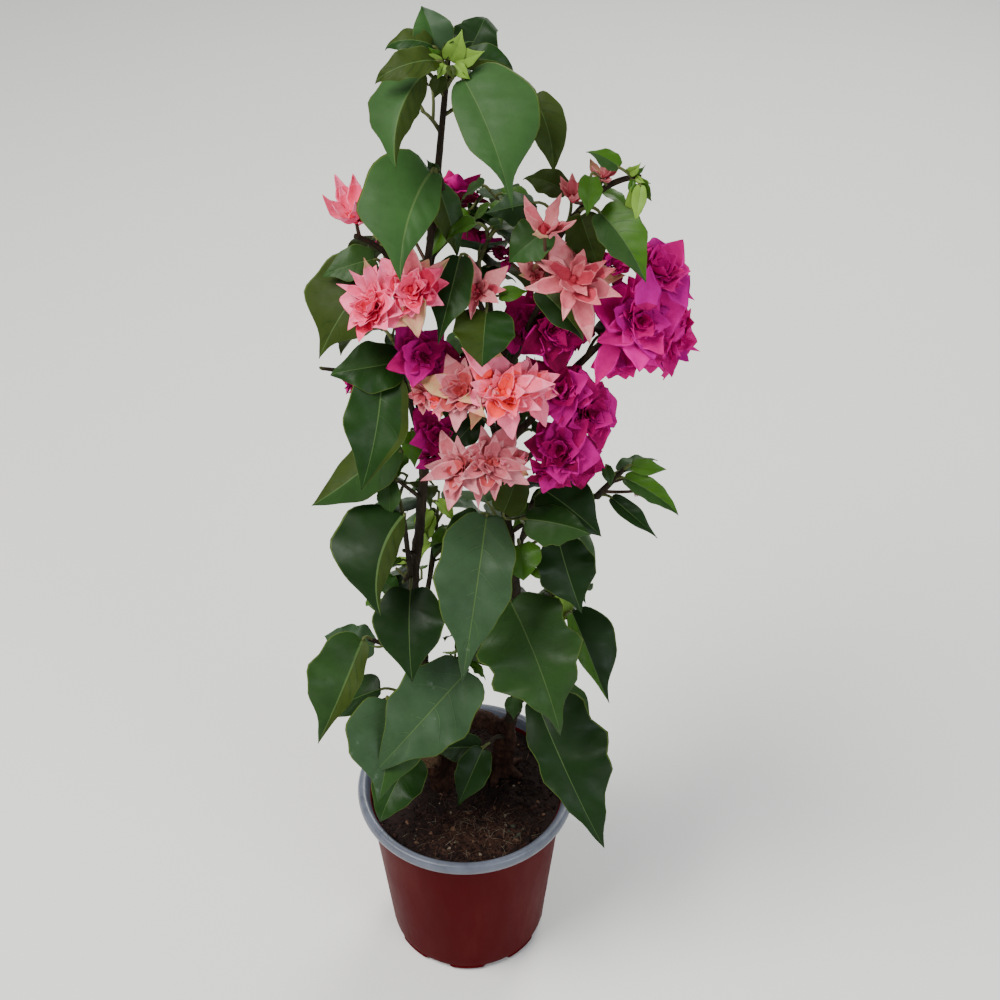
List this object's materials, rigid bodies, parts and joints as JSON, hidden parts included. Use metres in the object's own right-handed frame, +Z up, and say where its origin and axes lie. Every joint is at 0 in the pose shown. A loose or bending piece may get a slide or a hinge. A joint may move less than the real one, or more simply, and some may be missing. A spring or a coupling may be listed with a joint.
{
  "type": "potted bougainvillea bush",
  "caption": "Bougainvillea bush on two woody stems, with large drooping leaves and clusters of pink, coral and magenta bracts, in a round tapered plastic nursery pot.",
  "frame": {"origin": "middle of the pot's flat underside", "axes": "+Z up along the stems, -Y towards the front, +X to the front viewer's right"},
  "size_m": [0.2529, 0.1971, 0.77],
  "materials": {
    "pot_plastic": "satin moulded polypropylene, dark maroon",
    "soil": "crumbly dark peat with fibres",
    "bark": "rough brown bark, smoother towards the tips",
    "leaf_green": "smooth leaf with a soft sheen",
    "pink_bract": "papery bract",
    "coral_bract": "papery bract",
    "magenta_bract": "papery bract"
  },
  "bodies": {
    "root": {"pot": "pot_plastic", "soil": "soil", "woody_base": "bark", "left_stem": "bark", "right_stem": "bark", "upper_right_bough": "bark", "middle_right_bough": "bark", "lower_right_bough": "bark", "crown_top_foliage": "leaf_green", "left_shoulder_foliage": "leaf_green", "left_blossom": "pink_bract", "left_middle_foliage": "leaf_green", "left_inner_blossom": "magenta_bract", "left_lower_foliage": "leaf_green", "left_skirt_foliage": "leaf_green", "low_left_foliage": "leaf_green", "low_centre_foliage": "leaf_green", "foot_foliage": "leaf_green", "centre_low_foliage": "leaf_green", "right_skirt_foliage": "leaf_green", "right_foot_foliage": "leaf_green", "right_flank_foliage": "leaf_green", "right_middle_foliage": "leaf_green", "right_twig_foliage": "leaf_green", "right_blossom": "magenta_bract", "middle_blossom": "magenta_bract", "centre_tip_foliage": "leaf_green", "inner_blossom": "pink_bract", "centre_blossom": "coral_bract", "upper_right_foliage": "leaf_green", "star_blossom": "pink_bract", "back_upper_foliage": "leaf_green", "back_middle_foliage": "leaf_green", "back_low_foliage": "leaf_green"}
  },
  "joints": []
}
